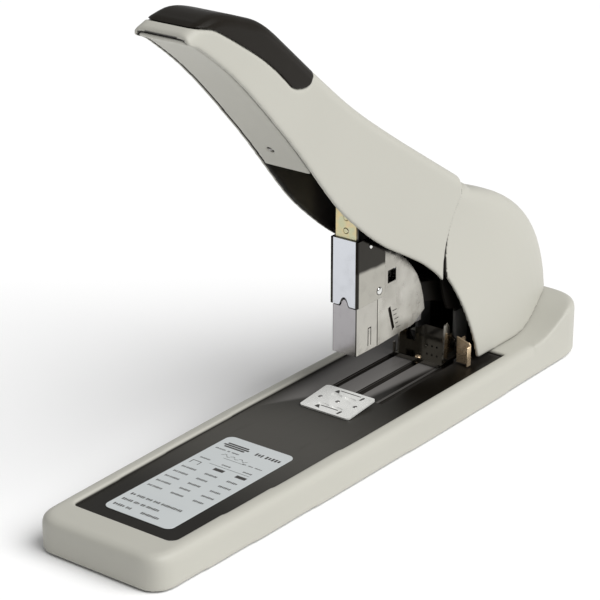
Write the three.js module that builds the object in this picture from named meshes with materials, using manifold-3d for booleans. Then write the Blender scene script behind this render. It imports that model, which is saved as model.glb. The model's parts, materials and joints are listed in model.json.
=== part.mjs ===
// A heavy-duty desk stapler for thick stacks of paper, with its handle raised.
// Millimetres, +Z up, front of the stapler at -Y, origin on the table under the middle of the base.
// The plane X = 0 splits the stapler into mirrored halves.
import * as THREE from "three";
import { LoftGeometry } from "three/addons/geometries/LoftGeometry.js";
import { mergeVertices } from "three/addons/utils/BufferGeometryUtils.js";
import Module from "manifold-3d";

const wasm = await Module();
wasm.setup();

// ---- Driving sizes -----------------------------------------------------------------

const gap = 0.3; // clearance between two pieces that meet
const pinFit = gap / 2; // all round a pin or a rivet in its hole
const wall = 2.4; // moulded covers
const past = 1; // how far a cutter runs past the face that it opens
const far = 400; // longer than the stapler, for cutters with an open side
const round = 24; // sides of a round piece

const staple = { crown: 13, leg: 19.4, wire: 0.7, strip: 26 };
const steel = { head: 0.75, rail: 0.8, arm: 1.2, lever: 1.5, cheek: 1.5, floor: 1.6, deck: 1.2 };

const base = {
  length: 367,
  frontWidth: 78,
  middleWidth: 85.8,
  rearWidth: 84,
  rimHeight: 18.8,
  rearHeight: 31,
  rim: 8.1, // from the outside to the deck recess
  deckDrop: 2.06, // from the rim to the deck
  frontWall: 19.5, // from the front to the deck recess
  frontCorner: 14,
  rearCorner: 24,
  edge: 4.5, // rounding along the top
  ramp: 46, // length of the rise to the rear block
  rearLedge: 10, // level top of the rear block
  standOff: 0.8, // lower edge of the cover above the table
};

const label = { width: 41.4, length: 95.6, thick: 0.25, fromFront: 76.8, corner: 4 };
const foot = { radius: 8, height: 1.8, inset: 17 };
const screw = { shank: 1.5, head: 3, headHeight: 1.1, boss: 4 };

const handlePivot = { fromRear: 56.5, height: 73, pin: 4 };
const headPivot = { ahead: 23, below: 21, pin: 3 }; // from the handle pivot
const seamRadius = 52; // handle meets housing on this arc about the handle pivot
const seamHalfGap = 0.6; // each of them stops this far from the arc

const head = {
  ahead: 119,
  bottom: 44,
  split: 70, // where the magazine's front ends and the fixed front cover begins
  splitGap: 0.6,
  top: 106.8,
  coverDepth: 24,
  noseDepth: 19,
  fanRear: 60,
};
const driver = { stroke: 26, narrower: 0.4, thick: 0.8, restAbove: 0.5 }; // narrower than a staple
const drivePin = { ahead: 105, above: 65, radius: 3, travel: 6.4 }; // from the handle pivot
const anvil = { width: 31.4, length: 24.7, thick: 0.9, tilt: 5.33, rise: 2.27, behindHead: -4.9 };
const stop = { width: 30, ahead: 53.5, depth: 19, height: 24.3, backHeight: 15.5, thick: 1 };

const handle = { clearance: 3, edge: 5, gripDepth: 1.6, underside: 2.2 };
const housing = { halfWidth: 27.3, besideHandle: 0.7, crownInset: 1.9, seat: 0.3 };

// ---- Places worked out from the driving sizes ---------------------------------------

const front = -base.length / 2;
const rear = base.length / 2;
const pivotY = rear - handlePivot.fromRear;
const pivotZ = handlePivot.height;
const headPivotY = pivotY - headPivot.ahead;
const headPivotZ = pivotZ - headPivot.below;
const headFront = pivotY - head.ahead;
const recessRear = pivotY - 19;
const deckTop = base.rimHeight - base.deckDrop;
const deckBottom = deckTop - steel.deck;
const recessFloor = deckBottom - gap;
const slotFront = headFront + 10; // front ends of the deck's slots

// Half widths, layer by layer outwards from the staple.
const staplesHalf = staple.crown / 2;
const driverHalf = (staple.crown - driver.narrower) / 2;
const noseIn = staplesHalf + 0.1;
const noseOut = noseIn + 0.7;
const plateIn = staplesHalf + 0.25;
const plateOut = plateIn + steel.head;
const coverIn = plateOut + gap;
const coverOut = coverIn + steel.head;
const leverIn = coverOut + 1.05;
const leverOut = leverIn + steel.lever;
const cheekIn = leverOut + gap;
const cheekOut = cheekIn + steel.cheek;
const handleIn = leverOut + handle.clearance;
const handleOut = handleIn + wall;
const stopHalf = stop.width / 2;

// ---- Solids ----------------------------------------------------------------------------

const plain = (geometry) => {
  const bare = geometry.index ? geometry.toNonIndexed() : geometry.clone();
  bare.deleteAttribute("normal");
  bare.deleteAttribute("uv");
  return mergeVertices(bare, 1e-4);
};

// A closed three.js geometry as a solid; faces that collapsed in the merge are dropped.
function solid(geometry) {
  const merged = plain(geometry);
  const index = merged.index.array;
  const faces = [];
  for (let i = 0; i < index.length; i += 3) {
    const [a, b, c] = index.slice(i, i + 3);
    if (a !== b && b !== c && c !== a) faces.push(a, b, c);
  }
  const vertProperties = merged.attributes.position.array;
  const triVerts = new Uint32Array(faces);
  return new wasm.Manifold(new wasm.Mesh({ numProp: 3, vertProperties, triVerts }));
}

const joined = (solids) => solids.reduce((sum, next) => sum.add(next));
const cutBy = (body, cutters) => cutters.reduce((left, cutter) => left.subtract(cutter), body);

// A box from its lowest to its highest corner.
function box(low, high) {
  const size = high.map((value, axis) => value - low[axis]);
  const middle = high.map((value, axis) => (value + low[axis]) / 2);
  return solid(new THREE.BoxGeometry(...size).translate(...middle));
}

// A box with the same reach on both sides of X = 0.
const bar = (half, [y0, y1], [z0, z1]) => box([-half, y0, z0], [half, y1, z1]);

function pinAlongX(radius, from, to, y, z, sides = round) {
  const pin = new THREE.CylinderGeometry(radius, radius, to - from, sides);
  return solid(pin.rotateZ(Math.PI / 2).translate((from + to) / 2, y, z));
}

function pinAlongZ(radius, from, to, x, y, sides = round) {
  const pin = new THREE.CylinderGeometry(radius, radius, to - from, sides);
  return solid(pin.rotateX(Math.PI / 2).translate(x, y, (from + to) / 2));
}

function pinAlongY(radius, from, to, x, z, sides = round) {
  const pin = new THREE.CylinderGeometry(radius, radius, to - from, sides);
  return solid(pin.translate(x, (from + to) / 2, z));
}

// Turns an extrusion so that its outline lies in the side view (Y, Z) and its depth runs along +X.
const sideView = new THREE.Matrix4().makeBasis(
  new THREE.Vector3(0, 1, 0),
  new THREE.Vector3(0, 0, 1),
  new THREE.Vector3(1, 0, 0),
);
// Outline in the front view (X, Z), depth along -Y.
const frontView = new THREE.Matrix4().makeBasis(
  new THREE.Vector3(1, 0, 0),
  new THREE.Vector3(0, 0, 1),
  new THREE.Vector3(0, -1, 0),
);

const extruded = (shape, depth, more = {}) =>
  new THREE.ExtrudeGeometry(shape, { depth, bevelEnabled: false, curveSegments: 10, ...more });

// A side-view outline from one X to another.
const slab = (shape, from, to, more) =>
  solid(extruded(shape, to - from, more).applyMatrix4(sideView).translate(from, 0, 0));

// A front-view outline from one Y to another.
const frontSlab = (shape, from, to) =>
  solid(extruded(shape, to - from).applyMatrix4(frontView).translate(0, to, 0));

// A plan outline from one Z to another.
const planSlab = (shape, from, to) => solid(extruded(shape, to - from).translate(0, 0, from));

const polygon = (points) => new THREE.Shape(points.map(([a, b]) => new THREE.Vector2(a, b)));

const roundedRectangle = (width, length, corner) => {
  const [w, l] = [width / 2, length / 2];
  const shape = new THREE.Shape();
  shape.absarc(w - corner, l - corner, corner, 0, Math.PI / 2);
  shape.absarc(-w + corner, l - corner, corner, Math.PI / 2, Math.PI);
  shape.absarc(-w + corner, -l + corner, corner, Math.PI, 1.5 * Math.PI);
  shape.absarc(w - corner, -l + corner, corner, 1.5 * Math.PI, 2 * Math.PI);
  return shape;
};

const degrees = (angle) => (angle * Math.PI) / 180;

// ---- The scene graph ---------------------------------------------------------------------

const finishes = {
  shell: { color: 0xd2d1c6, roughness: 0.45, metalness: 0 },
  black_plastic: { color: 0x17130f, roughness: 0.5, metalness: 0 },
  rubber: { color: 0x14110e, roughness: 0.75, metalness: 0 },
  black_steel: { color: 0x2a2824, roughness: 0.4, metalness: 0.3 },
  grey_steel: { color: 0x6b6b69, roughness: 0.35, metalness: 0.9 },
  chrome: { color: 0xd6d8de, roughness: 0.12, metalness: 1 },
  yellow_zinc: { color: 0xd9c68c, roughness: 0.35, metalness: 0.8 },
  brass: { color: 0xc79a63, roughness: 0.3, metalness: 1 },
  label_film: { color: 0xd3d8d8, roughness: 0.4, metalness: 0.2 },
  spring_steel: { color: 0x9a9a98, roughness: 0.3, metalness: 1 },
};

const stapler = new THREE.Group();
stapler.name = "heavy_duty_stapler";

// One named mesh from a solid, with its own material.
function add(name, body, finish) {
  const { numProp, numVert, vertProperties, triVerts } = body.getMesh();
  const positions = new Float32Array(numVert * 3);
  for (let i = 0; i < numVert; i++) {
    const start = i * numProp;
    positions.set(vertProperties.subarray(start, start + 3), i * 3);
  }
  const geometry = new THREE.BufferGeometry()
    .setAttribute("position", new THREE.BufferAttribute(positions, 3))
    .setIndex(new THREE.BufferAttribute(triVerts, 1));
  geometry.computeVertexNormals();
  const mesh = new THREE.Mesh(geometry, new THREE.MeshStandardMaterial(finishes[finish]));
  mesh.name = name;
  stapler.add(mesh);
}

const sides = [
  ["left", -1],
  ["right", 1],
];
// A layer between two half widths, on one side.
const layer = (sign, inner, outer) => (sign > 0 ? [inner, outer] : [-outer, -inner]);

// ---- Base cover ----------------------------------------------------------------------------

// Plan of the base: slightly wider behind the middle, with rounded corners.
function basePlan(
  inset,
  corner = Math.max(base.frontCorner - inset, 2.5),
  from = front + inset,
  to = rear - inset,
) {
  const widths = [base.frontWidth, base.middleWidth, base.rearWidth];
  const [wf, wm, wr] = widths.map((width) => width / 2 - inset);
  const bow = (4 * wm - wf - wr) / 2;
  const rearCorner = Math.min(Math.max(base.rearCorner - inset, 2.5), wr);
  const middle = (from + to) / 2;
  const shape = new THREE.Shape();
  shape.moveTo(-wf + corner, from);
  shape.lineTo(wf - corner, from);
  shape.quadraticCurveTo(wf, from, wf, from + corner);
  shape.quadraticCurveTo(bow, middle, wr, to - rearCorner);
  shape.quadraticCurveTo(wr, to, wr - rearCorner, to);
  shape.lineTo(-wr + rearCorner, to);
  shape.quadraticCurveTo(-wr, to, -wr, to - rearCorner);
  shape.quadraticCurveTo(-bow, middle, -wf, from + corner);
  shape.quadraticCurveTo(-wf, from, -wf + corner, from);
  return shape;
}

// The base as a block with a rounded top edge.
function baseBlock(inset, bottom, top) {
  const rounding = Math.max(base.edge - inset, 0.5);
  const block = extruded(basePlan(inset), top - bottom, {
    bevelEnabled: true,
    bevelThickness: rounding,
    bevelSize: rounding,
    bevelOffset: -rounding,
    bevelSegments: 3,
  }).translate(0, 0, bottom - rounding);
  return solid(block).subtract(box([-far, -far, -far], [far, far, bottom]));
}

// Everything behind the ramp: a smooth rise from the rim to the rear block, seen from the side.
function rampSide(lift) {
  const end = rear - base.rearLedge;
  const start = end - base.ramp;
  const shape = new THREE.Shape();
  shape.moveTo(start, 0);
  shape.lineTo(start, base.rimHeight + lift);
  shape.bezierCurveTo(
    start + base.ramp * 0.5,
    base.rimHeight + lift,
    end - base.ramp * 0.4,
    base.rearHeight + lift - 1.5,
    end,
    base.rearHeight + lift,
  );
  shape.lineTo(far, base.rearHeight + lift);
  shape.lineTo(far, 0);
  return slab(shape, -far, far);
}

const bossPlaces = [
  [-1, front + 34],
  [1, front + 34],
  [-1, rear - 40],
  [1, rear - 40],
].map(([side, y]) => [side * (base.frontWidth / 2 - 14), y]);

const plateBottom = base.standOff + 1.2;
const plateTop = plateBottom + steel.floor;
const cavityTop = recessFloor - wall;
const cheekFront = pivotY - 35.3;
const cheekRear = pivotY + 22;

function baseForm(inset, bottom, topDrop) {
  const low = baseBlock(inset, bottom, base.rimHeight - topDrop);
  const high = baseBlock(inset, bottom, base.rearHeight - topDrop).intersect(rampSide(-topDrop));
  return low.add(high);
}

function recessPlan(inset) {
  return basePlan(base.rim + inset, 3, front + base.frontWall + inset, rear);
}

const recessEnd = (inset) => box([-far, recessRear - inset, -far], [far, far, far]);
const recess = planSlab(recessPlan(0), recessFloor, base.rearHeight + past).subtract(recessEnd(0));

const frameOpening = bar(
  cheekOut + 1.2,
  [cheekFront - 1, cheekRear + 1],
  [-past, base.rearHeight + past],
);

const baseCavity = joined([
  planSlab(basePlan(wall), -past, cavityTop),
  planSlab(basePlan(wall), -past, base.rearHeight - wall)
    .intersect(rampSide(-wall))
    .subtract(box([-far, -far, -far], [far, recessRear + wall, far])),
]);
const bosses = bossPlaces.map(([x, y]) => pinAlongZ(screw.boss, plateTop + gap, base.rearHeight, x, y));
const bossHoles = bossPlaces.map(([x, y]) => pinAlongZ(screw.shank + gap, 0, cavityTop - 1, x, y));
const baseWalls = box([-far, -far, -far], [far, far, far]).subtract(baseCavity);
const slotHalf = 2.2;
const sideSlot = [stopHalf - 1.4, stopHalf + 2.4];
const grooves = [
  bar(slotHalf, [slotFront, recessRear], [recessFloor - 1, deckTop]),
  ...sides.map(([, sign]) => {
    const [from, to] = layer(sign, ...sideSlot);
    return box([from, slotFront, recessFloor - 1], [to, recessRear, deckTop]);
  }),
];

add(
  "base_cover",
  cutBy(baseForm(0, base.standOff, 0).intersect(baseWalls.add(joined(bosses))), [
    recess,
    frameOpening,
    ...grooves,
    ...bossHoles,
  ]),
  "shell",
);

// ---- Bottom plate, feet and screws -----------------------------------------------------------

add(
  "bottom_plate",
  cutBy(planSlab(basePlan(wall + gap), plateBottom, plateTop), bossHoles),
  "black_steel",
);

const screwNames = ["front_left", "front_right", "rear_left", "rear_right"];
bossPlaces.forEach(([x, y], i) => {
  const shank = pinAlongZ(screw.shank, plateBottom - gap - 0.2, cavityTop - 1.5, x, y, 12);
  const headTop = plateBottom - gap;
  const screwHead = pinAlongZ(screw.head, headTop - screw.headHeight, headTop, x, y, 12);
  const slot = box([x - screw.head, y - 0.3, 0], [x + screw.head, y + 0.3, plateBottom - gap - 0.6]);
  add("base_screw_" + screwNames[i], shank.add(screwHead).subtract(slot), "grey_steel");
});

const footPlaces = [
  [-1, front + foot.inset],
  [1, front + foot.inset],
  [-1, rear - foot.inset - 3],
  [1, rear - foot.inset - 3],
].map(([side, y]) => [side * (base.frontWidth / 2 - foot.inset), y]);
footPlaces.forEach(([x, y], i) => {
  add("foot_" + screwNames[i], pinAlongZ(foot.radius, 0, plateBottom - gap, x, y), "rubber");
});

// ---- Deck, label and anvil --------------------------------------------------------------------

const anvilY = headFront + anvil.behindHead;
const anvilTop = deckTop + anvil.rise;
const anvilBlockHalf = [anvil.width / 2 - 6, anvil.length / 2 - 5];

const deckPlate = cutBy(planSlab(recessPlan(gap), deckBottom, deckTop), [
  recessEnd(gap),
  frameOpening,
  ...grooves,
  box(
    [-anvilBlockHalf[0], anvilY - anvilBlockHalf[1], 0],
    [anvilBlockHalf[0], anvilY + anvilBlockHalf[1], base.rimHeight],
  ),
]);
add("deck_plate", deckPlate, "black_steel");

const labelPlan = roundedRectangle(label.width, label.length, label.corner);
const labelBottom = deckTop + 0.05;
add(
  "capacity_label",
  planSlab(labelPlan, labelBottom, labelBottom + label.thick).translate([0, front + label.fromFront, 0]),
  "label_film",
);

// The anvil lies on a block and leans back by its tilt; two rows of pockets turn the staple legs.
const leaning = (body) => body.translate([0, -anvilY, -anvilTop]).rotate([anvil.tilt, 0, 0])
  .translate([0, anvilY, anvilTop]);
const anvilPlan = roundedRectangle(anvil.width, anvil.length, 2);
const pocketRows = [-6.2, 5.2];
const pockets = pocketRows.flatMap((row) =>
  [-1, 1].map((side) => {
    const dip = new THREE.SphereGeometry(3.4, 14, 10).scale(1, 0.42, 0.17);
    return solid(dip.translate(side * 4.4, anvilY + row, anvilTop));
  }),
);
const anvilRivetX = [-anvil.width / 2 + 4.6, 0, anvil.width / 2 - 4.6];
const anvilRivetRadius = 1.1;
const anvilRivetHoles = anvilRivetX.map((x) =>
  pinAlongZ(anvilRivetRadius + pinFit, 0, anvilTop + past, x, anvilY, 14),
);
add(
  "anvil_plate",
  leaning(
    cutBy(planSlab(anvilPlan, anvilTop - anvil.thick, anvilTop).translate([0, anvilY, 0]), [
      ...pockets,
      ...anvilRivetHoles,
    ]),
  ),
  "chrome",
);
const underAnvil = leaning(box([-far, -far, anvilTop - anvil.thick - gap], [far, far, far]));
add(
  "anvil_block",
  cutBy(
    box(
      [-anvilBlockHalf[0] + gap, anvilY - anvilBlockHalf[1] + gap, recessFloor + gap],
      [anvilBlockHalf[0] - gap, anvilY + anvilBlockHalf[1] - gap, anvilTop + past],
    ),
    [underAnvil, ...anvilRivetHoles.slice(1, 2)],
  ),
  "grey_steel",
);
anvilRivetX.forEach((x, i) => {
  const foot = i === 1 ? recessFloor + gap : deckTop + gap;
  const place = ["left", "middle", "right"][i];
  const rivetBody = pinAlongZ(anvilRivetRadius, foot, anvilTop + 0.1, x, anvilY, 14);
  add("anvil_rivet_" + place, rivetBody, "grey_steel");
});

// ---- Frame: chassis floor, two cheeks that fill the housing's mouth, and their pins -----------

add(
  "chassis_floor",
  bar(cheekOut, [cheekFront, cheekRear], [plateTop + gap, plateTop + gap + 2]),
  "black_steel",
);

function cheekSide() {
  const bottom = plateTop + 2 * gap + 2;
  const shape = new THREE.Shape();
  shape.moveTo(cheekFront, bottom);
  shape.lineTo(cheekFront, pivotZ - 27.5);
  shape.absarc(pivotY, pivotZ, seamRadius - wall, degrees(211), degrees(171), true);
  shape.absarc(pivotY, pivotZ, 9, degrees(95), degrees(10), true);
  shape.lineTo(cheekRear, pivotZ - 30);
  shape.lineTo(cheekRear, bottom);
  return shape;
}
const pinHoles = [
  pinAlongX(handlePivot.pin + pinFit, -far, far, pivotY, pivotZ),
  pinAlongX(headPivot.pin + pinFit, -far, far, headPivotY, headPivotZ),
];
for (const [side, sign] of sides) {
  const cheek = slab(cheekSide(), ...layer(sign, cheekIn, cheekOut));
  add("frame_cheek_" + side, cutBy(cheek, pinHoles), "black_steel");
}

const pinEnd = cheekOut + 0.8;
add("handle_pivot_pin", pinAlongX(handlePivot.pin, -pinEnd, pinEnd, pivotY, pivotZ), "grey_steel");
add("head_pivot_pin", pinAlongX(headPivot.pin, -pinEnd, pinEnd, headPivotY, headPivotZ), "grey_steel");

// The torsion spring that lifts the handle: a coil round the pivot pin with a leg down to the chassis.
const coil = { inner: handlePivot.pin + 0.6, outer: handlePivot.pin + 3, half: leverIn - gap - 0.5 };
const springLeg = bar(1, [pivotY + coil.inner, pivotY + coil.outer], [plateTop + 2 * gap + 2, pivotZ]);
add(
  "return_spring",
  pinAlongX(coil.outer, -coil.half, coil.half, pivotY, pivotZ, 16)
    .add(springLeg)
    .subtract(pinAlongX(coil.inner, -far, far, pivotY, pivotZ, 16)),
  "spring_steel",
);

// ---- Rear housing -----------------------------------------------------------------------------------

// Levels of the housing from its foot to its crown: height, half width, front and rear.
const housingFoot = base.rimHeight + housing.seat;
function housingLevels(inset) {
  const foot = { z: housingFoot, half: housing.halfWidth, from: pivotY - 86, to: pivotY + 53.2 };
  const seam = { z: pivotZ, half: handleOut + housing.besideHandle, from: pivotY - 100, to: pivotY + 45 };
  const crown = { z: pivotZ + 36, half: handleOut - housing.crownInset, from: pivotY - 80, to: pivotY - 19 };
  const count = 16;
  const body = Array.from({ length: count + 1 }, (_, i) => {
    const t = i / count;
    const [a, b, c] = [(1 - t) ** 2, 2 * t * (1 - t), t ** 2];
    // The middle level is a control point, so it is pushed out to make the curve pass through the seam.
    const through = (key) => {
      const control = 2 * seam[key] - (foot[key] + crown[key]) / 2;
      return a * foot[key] + b * control + c * crown[key];
    };
    return {
      z: through("z"),
      half: through("half") - inset,
      from: through("from") + inset,
      to: through("to") - inset,
    };
  });
  // The roof: quarter-round steps in from the crown.
  const roofHeight = 6;
  const { z, half, from, to } = body.at(-1);
  const steps = 5;
  const roof = Array.from({ length: steps }, (_, i) => {
    const angle = (((i + 1) / steps) * Math.PI) / 2;
    const inwards = 1 - Math.cos(angle);
    return {
      z: z + (roofHeight - inset) * Math.sin(angle),
      half: half - 9 * inwards,
      from: from + 5 * inwards,
      to: to - 20 * inwards,
    };
  });
  return [...body, ...roof];
}

// A rounded outline: a superellipse between front and rear.
function housingRing({ z, half, from, to }) {
  const count = 48;
  const squareness = 2 / 3.4;
  const bend = (value) => Math.sign(value) * Math.abs(value) ** squareness;
  return Array.from({ length: count }, (_, i) => {
    const angle = (i / count) * 2 * Math.PI;
    return new THREE.Vector3(
      half * bend(Math.cos(angle)),
      (from + to) / 2 + ((to - from) / 2) * bend(Math.sin(angle)),
      z,
    );
  });
}

function housingForm(inset, drop = 0) {
  const rings = housingLevels(inset).map(housingRing);
  rings[0].forEach((point) => (point.z -= drop));
  return solid(new LoftGeometry(rings, { capStart: true, capEnd: true }));
}

// Side view of the mouth that the paper goes into, below the handle.
function mouthSide() {
  const shape = new THREE.Shape();
  shape.moveTo(pivotY - 32.6, -far);
  shape.lineTo(pivotY - 32.6, base.rimHeight);
  shape.quadraticCurveTo(pivotY - 33.5, pivotZ - 27, pivotY - seamRadius + 1.5, pivotZ - 4);
  shape.lineTo(pivotY - far, pivotZ - 4);
  shape.lineTo(pivotY - far, -far);
  return shape;
}

const seamCylinder = (radius) => pinAlongX(radius, -far, far, pivotY, pivotZ, 96);
const aboveMouth = box([-far, -far, pivotZ - 6], [far, pivotY, far]);
const mouth = slab(mouthSide(), -far, far);
const outsideSeam = aboveMouth.subtract(seamCylinder(seamRadius - seamHalfGap));

add(
  "rear_housing",
  cutBy(housingForm(0), [housingForm(wall, 2), outsideSeam, mouth, rampSide(housing.seat)]),
  "shell",
);

// ---- Handle ------------------------------------------------------------------------------------------

// Side-view points, measured from the handle pivot.
const fromPivot = (points) => points.map(([y, z]) => new THREE.Vector2(pivotY + y, pivotZ + z));

const crest = fromPivot([
  [-262, 169],
  [-246, 174.8],
  [-232.7, 176.2],
  [-214.6, 171],
  [-199.2, 164],
  [-177.6, 146.4],
  [-159, 130.8],
  [-129.3, 107.4],
  [-92.1, 82.6],
  [-38.4, 49.2],
  [0, 29],
]);
const belly = fromPivot([
  [-249, 176],
  [-254.8, 171.6],
  [-255, 167],
  [-245.4, 161.9],
  [-219.2, 140.7],
  [-181.8, 102.4],
  [-149, 64.5],
  [-128.3, 45.6],
  [-107.1, 30],
  [-83.3, 16.5],
  [-69.3, 8],
  [-54, -4.3],
  [-40, -22],
]);

// The handle's outline from its crest to well below its belly; the belly's curve rounds the tip.
function handleSide() {
  const shape = new THREE.Shape();
  const [tip, end] = [crest[0], crest.at(-1)];
  shape.moveTo(tip.x, tip.y);
  shape.lineTo(crest[1].x, crest[1].y);
  shape.splineThru(crest.slice(2, -1));
  shape.lineTo(end.x, end.y);
  shape.lineTo(end.x, pivotZ - 60);
  shape.lineTo(tip.x, pivotZ - 60);
  return shape;
}

function belowBelly(lift) {
  const raised = belly.map((point) => new THREE.Vector2(point.x, point.y + lift));
  const shape = new THREE.Shape();
  shape.moveTo(raised[0].x - 30, raised[0].y);
  shape.lineTo(raised[0].x, raised[0].y);
  shape.splineThru(raised.slice(1));
  shape.lineTo(far, raised.at(-1).y);
  shape.lineTo(far, -far);
  shape.lineTo(raised[0].x - 30, -far);
  return slab(shape, -far, far);
}

// The handle as a full body with rounded upper edges, shrunk by an inset.
function handleForm(inset) {
  const rounding = Math.max(handle.edge - inset, 1);
  const half = handleOut - inset;
  return slab(handleSide(), -half + rounding, half - rounding, {
    curveSegments: 6,
    bevelEnabled: true,
    bevelThickness: rounding,
    bevelSize: rounding,
    bevelOffset: -rounding - inset,
    bevelSegments: 3,
  });
}

const gripSide = (() => {
  const shape = new THREE.Shape();
  const edge = fromPivot([
    [-252, 173.5],
    [-240, 170.5],
    [-233.4, 167.4],
    [-218.4, 158.4],
    [-204.7, 149.6],
    [-192.6, 140.1],
    [-183, 131.1],
  ]);
  const tail = fromPivot([
    [-177.3, 127.4],
    [-169, 128.5],
    [-163.5, 133.5],
    [-154, 146],
  ]);
  shape.moveTo(edge[0].x - 20, edge[0].y + 6);
  shape.lineTo(edge[0].x, edge[0].y);
  shape.splineThru(edge.slice(1));
  shape.quadraticCurveTo(tail[0].x, tail[0].y, tail[1].x, tail[1].y);
  shape.quadraticCurveTo(tail[2].x, tail[2].y, tail[3].x, tail[3].y);
  shape.lineTo(tail[3].x, edge[0].y + 60);
  shape.lineTo(edge[0].x - 20, edge[0].y + 60);
  return shape;
})();
const gripRegion = slab(gripSide, -far, far);
const gripSkin = handleForm(0).subtract(handleForm(handle.gripDepth));

const bellyCutter = belowBelly(0);
const aheadOfSeam = handleForm(0).subtract(bellyCutter).subtract(seamCylinder(seamRadius + seamHalfGap));
const hollow = handleForm(wall).subtract(box([-far, -far, -far], [far, -far + past, far]));

// The grip's bed is cut with a small gap all round, so the pad drops in.
const padBed = gripRegion.subtract(handleForm(handle.gripDepth + gap));
const backing = handleForm(handle.gripDepth + gap)
  .subtract(handleForm(handle.gripDepth + gap + wall))
  .intersect(gripRegion)
  .subtract(bellyCutter);
const seamLimit = box([-far, pivotY - 34, -far], [far, far, far]);
const shoulderNotches = sides.map(([, sign]) => {
  const [from, to] = layer(sign, handleOut - 6, far);
  return box([from, pivotY - 37.5, pivotZ + 38], [to, far, far]);
});
add(
  "handle_cover",
  cutBy(aheadOfSeam, [hollow, padBed, seamLimit, ...shoulderNotches]).add(backing),
  "shell",
);
add(
  "grip_pad",
  gripSkin.intersect(gripRegion.translate([0, -gap / 3, 1.5 * gap])).subtract(bellyCutter),
  "rubber",
);

// The belly's front part is closed by a cover between the handle's side walls.
const undersideEnd = pivotY - 165;
const undersideCover = handleForm(wall + gap)
  .subtract(belowBelly(0.1))
  .intersect(belowBelly(handle.underside));
const undersideHole = { y: pivotY - 174, z: pivotZ + 96, radius: 1.9 };
const acrossBelly = (radius, from, to) => {
  const pin = new THREE.CylinderGeometry(radius, radius, to - from, 14).translate(0, (from + to) / 2, 0);
  pin.rotateX(degrees(-45)).rotateX(Math.PI / 2);
  return solid(pin.translate(-3, undersideHole.y, undersideHole.z));
};
add(
  "underside_cover",
  cutBy(undersideCover, [
    box([-far, undersideEnd, -far], [far, far, far]),
    acrossBelly(undersideHole.radius, -12, 12),
  ]),
  "shell",
);

// The steel lever: two cheeks on the pivot pin and a web under the handle's crest.
function leverSide(webOnly) {
  const upper = fromPivot([
    [-31, 21],
    [-92.1, 69],
    [-129.3, 95],
    [-159, 118.5],
    [-187, 143],
  ]);
  const lower = fromPivot([
    [-197, 134],
    [-187, 120],
    [-150, 92],
    [-118, 68],
    [-92, 45],
    [-50, 22],
    [-14, -3],
  ]);
  const shape = new THREE.Shape();
  if (webOnly) {
    const under = upper.map((point) => new THREE.Vector2(point.x - 1, point.y - 2)).reverse();
    shape.setFromPoints([...upper, ...under]);
    return shape;
  }
  shape.setFromPoints([new THREE.Vector2(pivotY - 5, pivotZ + 10), ...upper, ...lower]);
  shape.absarc(pivotY, pivotZ, 11, degrees(220), degrees(470));
  return shape;
}
const webFront = box([-far, -far, -far], [far, pivotY - drivePin.ahead, far]);
const pinY = pivotY - drivePin.ahead;
const pinZ = pivotZ + drivePin.above;
const drivePinSlot = joined([
  pinAlongX(drivePin.radius + 0.4, -far, far, pinY, pinZ),
  pinAlongX(drivePin.radius + 0.4, -far, far, pinY + drivePin.travel, pinZ),
  box(
    [-far, pinY, pinZ - drivePin.radius - 0.4],
    [far, pinY + drivePin.travel, pinZ + drivePin.radius + 0.4],
  ),
]);
const leverCheeks = sides.map(([, sign]) => slab(leverSide(false), ...layer(sign, leverIn, leverOut)));
const leverWeb = slab(leverSide(true), -leverOut, leverOut).intersect(webFront);
add(
  "handle_lever",
  cutBy(joined([...leverCheeks, leverWeb]), [
    drivePinSlot,
    pinAlongX(handlePivot.pin + pinFit, -far, far, pivotY, pivotZ),
  ]),
  "black_steel",
);

// ---- Stapling head ----------------------------------------------------------------------

// Upper front cover: a chromed channel, open at the back, with an arch cut in its lower front edge.
function archedFront() {
  const shape = new THREE.Shape();
  const [half, low, high] = [coverOut, head.split + head.splitGap, head.top];
  shape.moveTo(-half, low);
  shape.lineTo(-3.6, low);
  shape.bezierCurveTo(-2.2, low, -2.2, low + 4.6, 0, low + 4.6);
  shape.bezierCurveTo(2.2, low + 4.6, 2.2, low, 3.6, low);
  shape.lineTo(half, low);
  shape.lineTo(half, high);
  shape.lineTo(-half, high);
  return shape;
}
const coverRear = headFront + head.coverDepth;
const coverChannel = frontSlab(archedFront(), headFront, coverRear).subtract(
  bar(coverIn, [headFront + steel.head, coverRear + past], [0, head.top + past]),
);
const coverCut = slab(
  polygon([
    [headFront + 8, head.top + past],
    [coverRear + past, head.top - 13],
    [coverRear + past, head.top + past],
  ]),
  -far,
  far,
);
const rivets = {
  big: { y: headFront + 19, z: head.split + 4.9, radius: 1.6, dome: 2.2 },
  small: { y: headFront + 11.2, z: head.top - 4.9, radius: 1, dome: 1.5 },
};
const rivetHoles = Object.values(rivets).map(({ y, z, radius }) =>
  pinAlongX(radius + pinFit, -far, far, y, z, 16),
);
add("front_cover", cutBy(coverChannel, [coverCut, ...rivetHoles]), "chrome");

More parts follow.
